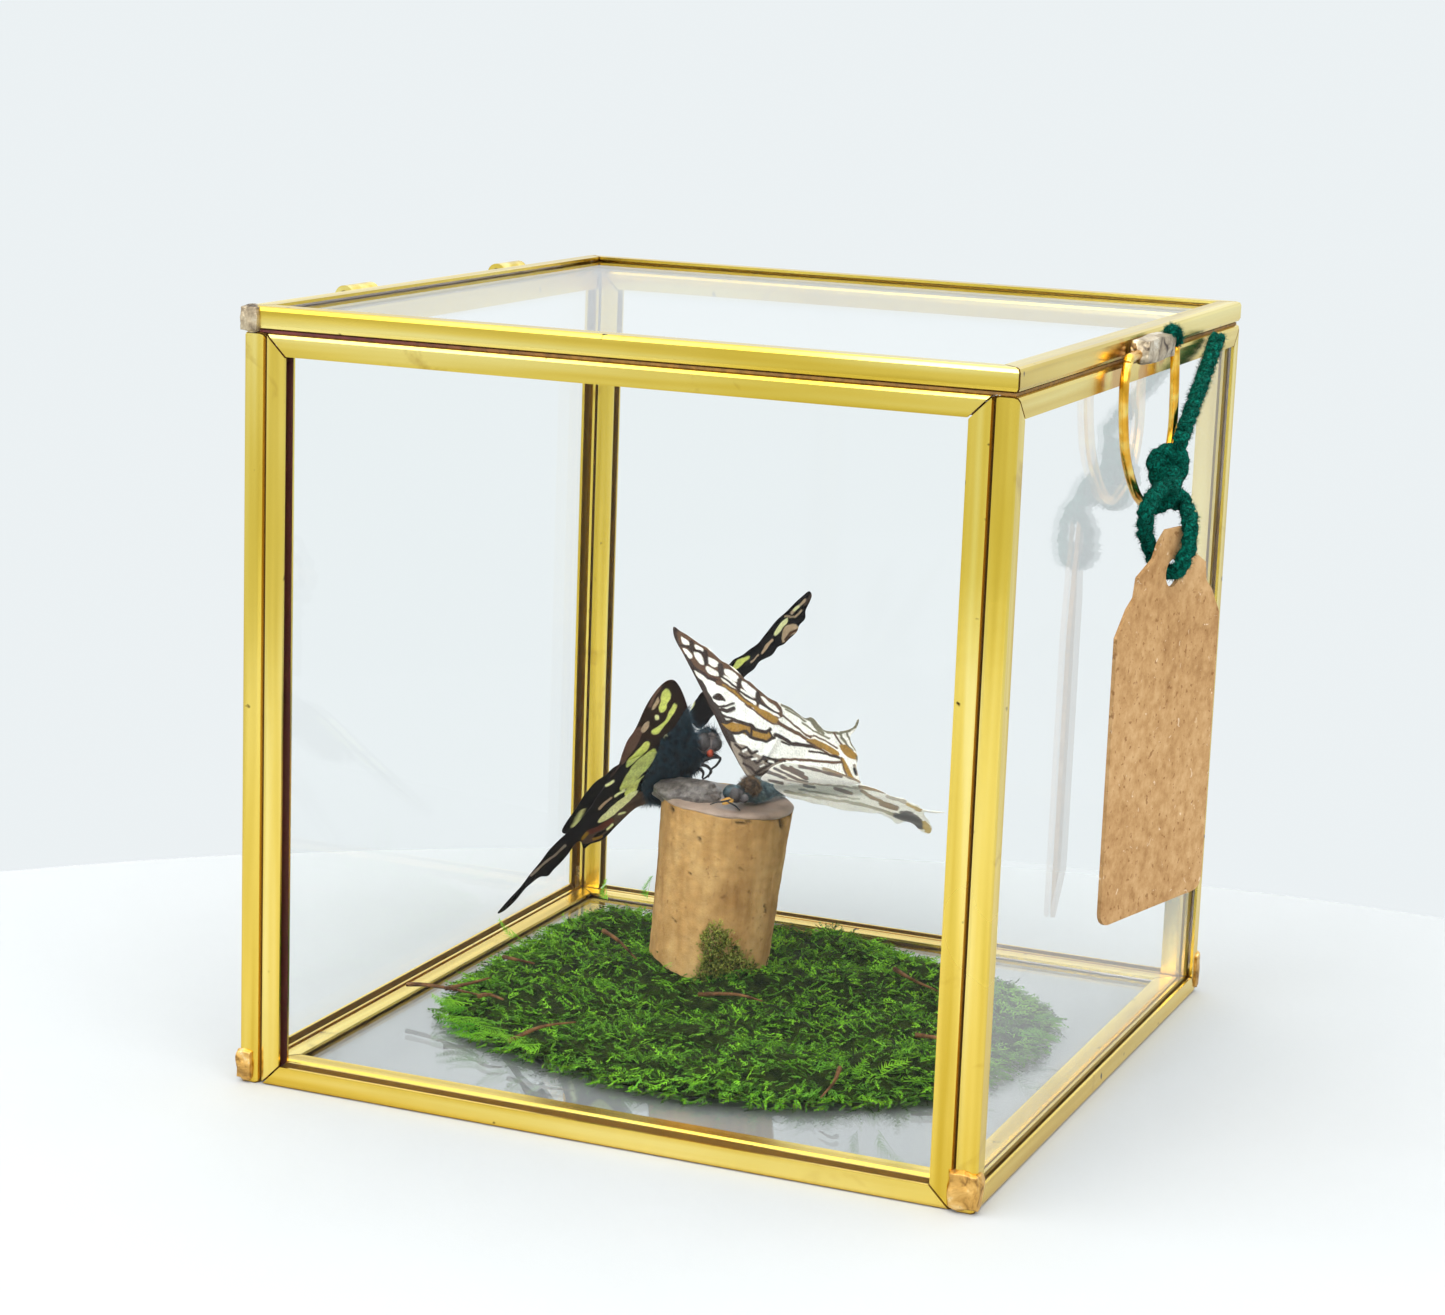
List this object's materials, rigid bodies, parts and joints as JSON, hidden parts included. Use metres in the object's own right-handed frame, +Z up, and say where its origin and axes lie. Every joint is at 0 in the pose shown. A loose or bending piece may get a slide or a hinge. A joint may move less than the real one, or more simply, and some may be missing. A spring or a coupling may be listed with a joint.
{
  "type": "butterflies in a glass display box",
  "caption": "Hinged cube of glass panes in brass channel, with dried butterflies glued on a cork over a moss mat, a drop pull ring and a card tag on wool yarn.",
  "frame": {"origin": "middle of the box's underside, on the surface it stands on", "axes": "+Z up, +X towards the side with the pull ring, lid hinge along -X edge parallel to Y"},
  "size_m": [0.1422, 0.1298, 0.1279],
  "materials": {
    "brass": "pale gold plate, polished, with a few tarnish specks",
    "glass": "clear, polished",
    "solder": "dull grey to gold tinned solder",
    "cork": "smooth agglomerate cork, matt",
    "glue": "dried translucent glue, dusty",
    "moss": "dried and dyed moss, feathery",
    "swordtail_body": "blue-black fur",
    "swordtail_wing": "scaled wing, brown-black with pale green cells",
    "mapwing_body": "grey-blue fur",
    "mapwing_wing": "scaled wing, white with brown and ochre lines",
    "card": "recycled kraft card, flecked",
    "wool": "dark green felted wool"
  },
  "bodies": {
    "box": {"back_pane": "glass", "back_strip_bottom": "brass", "back_strip_left": "brass", "back_strip_right": "brass", "back_strip_top": "brass", "bottom_pane": "glass", "bottom_strip_back": "brass", "bottom_strip_front": "brass", "bottom_strip_left": "brass", "bottom_strip_right": "brass", "cork": "cork", "front_pane": "glass", "front_strip_bottom": "brass", "front_strip_left": "brass", "front_strip_right": "brass", "front_strip_top": "brass", "glue": "glue", "hinge_staple_1": "brass", "hinge_staple_2": "brass", "left_pane": "glass", "left_strip_back": "brass", "left_strip_bottom": "brass", "left_strip_front": "brass", "left_strip_top": "brass", "mapwing_body": "mapwing_body", "mapwing_forewing_far": "mapwing_wing", "mapwing_forewing_near": "mapwing_wing", "mapwing_hindwing_far": "mapwing_wing", "mapwing_hindwing_near": "mapwing_wing", "moss_mat": "moss", "right_pane": "glass", "right_strip_back": "brass", "right_strip_bottom": "brass", "right_strip_front": "brass", "right_strip_top": "brass", "solder_back_left": "solder", "solder_back_right": "solder", "solder_front_left": "solder", "solder_front_right": "solder", "swordtail_body": "swordtail_body", "swordtail_forewing_far": "swordtail_wing", "swordtail_forewing_near": "swordtail_wing", "swordtail_hindwing_far": "swordtail_wing", "swordtail_hindwing_near": "swordtail_wing"},
    "lid": {"hinge_knuckle_1": "brass", "hinge_knuckle_2": "brass", "lid_pane": "glass", "lid_strip_back": "brass", "lid_strip_front": "brass", "lid_strip_left": "brass", "lid_strip_right": "brass", "ring_clasp": "solder", "solder_lid_front_left": "solder"},
    "pull_ring": {"pull_ring": "brass", "yarn": "wool", "yarn_knot": "wool", "yarn_loop": "wool", "hang_tag": "card"}
  },
  "joints": [
    {"name": "lid_hinge", "type": "hinge", "parent": "box", "child": "lid", "pos_m": [-0.0656, 0, 0.1256], "axis": [0, -1, 0], "range_deg": [0, 105]},
    {"name": "ring_hinge", "type": "hinge", "parent": "lid", "child": "pull_ring", "pos_m": [0.0655, 0, 0.1242], "axis": [0, -1, 0], "range_deg": [0, 110]}
  ]
}
